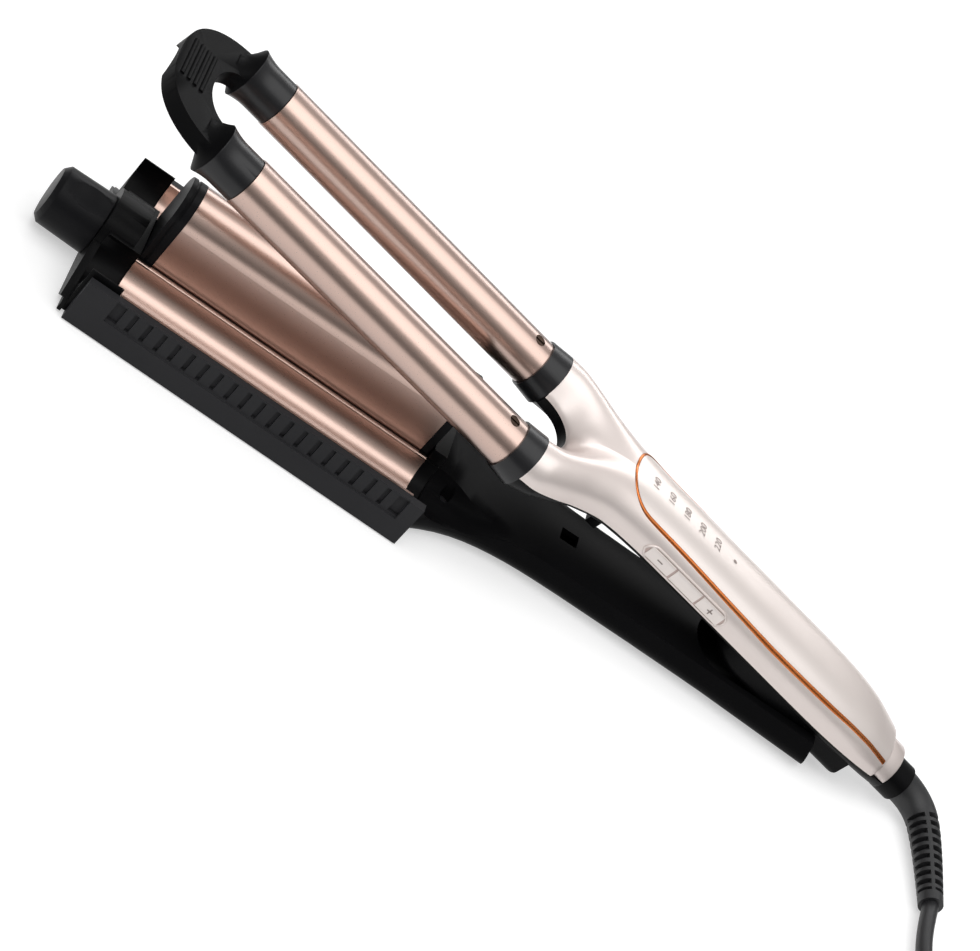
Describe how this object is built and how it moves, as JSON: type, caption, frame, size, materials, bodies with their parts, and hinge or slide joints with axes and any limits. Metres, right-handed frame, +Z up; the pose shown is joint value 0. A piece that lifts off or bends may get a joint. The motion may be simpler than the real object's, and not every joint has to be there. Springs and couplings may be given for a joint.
{
  "type": "hair waver",
  "caption": "Corded hair waver: sprung jaw with upper barrels over curved troughs, a centre barrel whose height a tip dial sets, a push-button handle and a swivel cord.",
  "frame": {"origin": "middle of the underside of the appliance, without its cord, as it lies open on a table", "axes": "+X from the dial at the tip to the cord, +Y to the side away from the buttons, +Z up"},
  "size_m": [0.5578, 0.1508, 0.0939],
  "materials": {
    "rose_ceramic": "rose-gold coated metal, satin with long soft highlights",
    "pearl_shell": "pearl white gloss",
    "pearl_panel": "pearl white gloss, printed marks",
    "copper_trim": "bright copper plating",
    "black_nylon": "black satin, fine moulded grain",
    "black_tip": "black half gloss",
    "steel": "plain",
    "spring_steel": "oiled wire",
    "heater_block": "cast heater",
    "board": "circuit board",
    "lamp": "lamp body",
    "switch": "switch body",
    "cord_rubber": "soft black sheath",
    "plated_pin": "nickel plate"
  },
  "bodies": {
    "handle": {"barrel_near": "rose_ceramic", "barrel_far": "rose_ceramic", "barrel_heater_near": "heater_block", "barrel_heater_far": "heater_block", "barrel_cap_near": "black_tip", "barrel_cap_far": "black_tip", "base_ring_near": "black_tip", "base_ring_far": "black_tip", "barrel_screws": "steel", "tip_bridge": "black_tip", "handle_top": "pearl_shell", "handle_bottom": "black_nylon", "display_panel": "pearl_panel", "panel_trim": "copper_trim", "control_board": "board", "button_switches": "switch", "display_lamps": "lamp", "jaw_spring": "spring_steel"},
    "lower_arm": {"jaw_carrier": "black_nylon", "carrier_screws": "steel", "trough_near": "rose_ceramic", "trough_far": "rose_ceramic", "trough_heater_near": "heater_block", "trough_heater_far": "heater_block", "guard_near": "black_nylon", "guard_far": "black_nylon", "tip_yoke": "black_nylon", "lower_shell": "black_nylon", "lower_cover": "black_nylon", "cover_screws": "steel", "hinge_pin": "steel"},
    "centre": {"centre_barrel": "rose_ceramic", "centre_cap_front": "black_tip", "centre_cap_rear": "black_tip", "centre_frame": "black_nylon", "centre_heater": "heater_block"},
    "dial": {"depth_dial": "black_tip", "dial_shaft": "steel", "lift_cams": "black_nylon"},
    "minus_button": {"minus_button": "pearl_panel"},
    "power_button": {"power_button": "pearl_panel"},
    "plus_button": {"plus_button": "pearl_panel"},
    "cord_swivel": {"swivel_collar": "black_nylon", "strain_relief": "cord_rubber", "cord": "cord_rubber", "cord_coil": "cord_rubber", "cord_tie": "cord_rubber", "plug": "cord_rubber", "plug_pins": "plated_pin"}
  },
  "joints": [
    {"name": "jaw_hinge", "type": "hinge", "parent": "handle", "child": "lower_arm", "pos_m": [0.14296, 0, 0.011], "axis": [0, 1, 0], "range_deg": [0, 11.2], "stiffness_Nm_per_rad": 1.5, "springref_deg": -25.78},
    {"name": "dial_turn", "type": "hinge", "parent": "lower_arm", "child": "dial", "pos_m": [-0.17054, 0, 0.0125], "axis": [1, 0, 0], "range_deg": [-270, 0]},
    {"name": "centre_lift", "type": "slide", "parent": "lower_arm", "child": "centre", "axis": [0, 0, 1], "range_m": [-0.0066, 0]},
    {"name": "minus_press", "type": "slide", "parent": "handle", "child": "minus_button", "axis": [0, 1, 0], "range_m": [0, 0.0006], "stiffness_N_per_m": 2500, "springref_m": -0.0004},
    {"name": "power_press", "type": "slide", "parent": "handle", "child": "power_button", "axis": [0, 1, 0], "range_m": [0, 0.0006], "stiffness_N_per_m": 2500, "springref_m": -0.0004},
    {"name": "plus_press", "type": "slide", "parent": "handle", "child": "plus_button", "axis": [0, 1, 0], "range_m": [0, 0.0006], "stiffness_N_per_m": 2500, "springref_m": -0.0004},
    {"name": "cord_turn", "type": "hinge", "parent": "handle", "child": "cord_swivel", "pos_m": [0.18942, 0, 0.0093], "axis": [0.9781, 0, -0.2079], "range_deg": [-180, 180]}
  ],
  "couplings": [
    {"joint": "dial_turn", "follows": "centre_lift", "rad_per_m": 714}
  ]
}
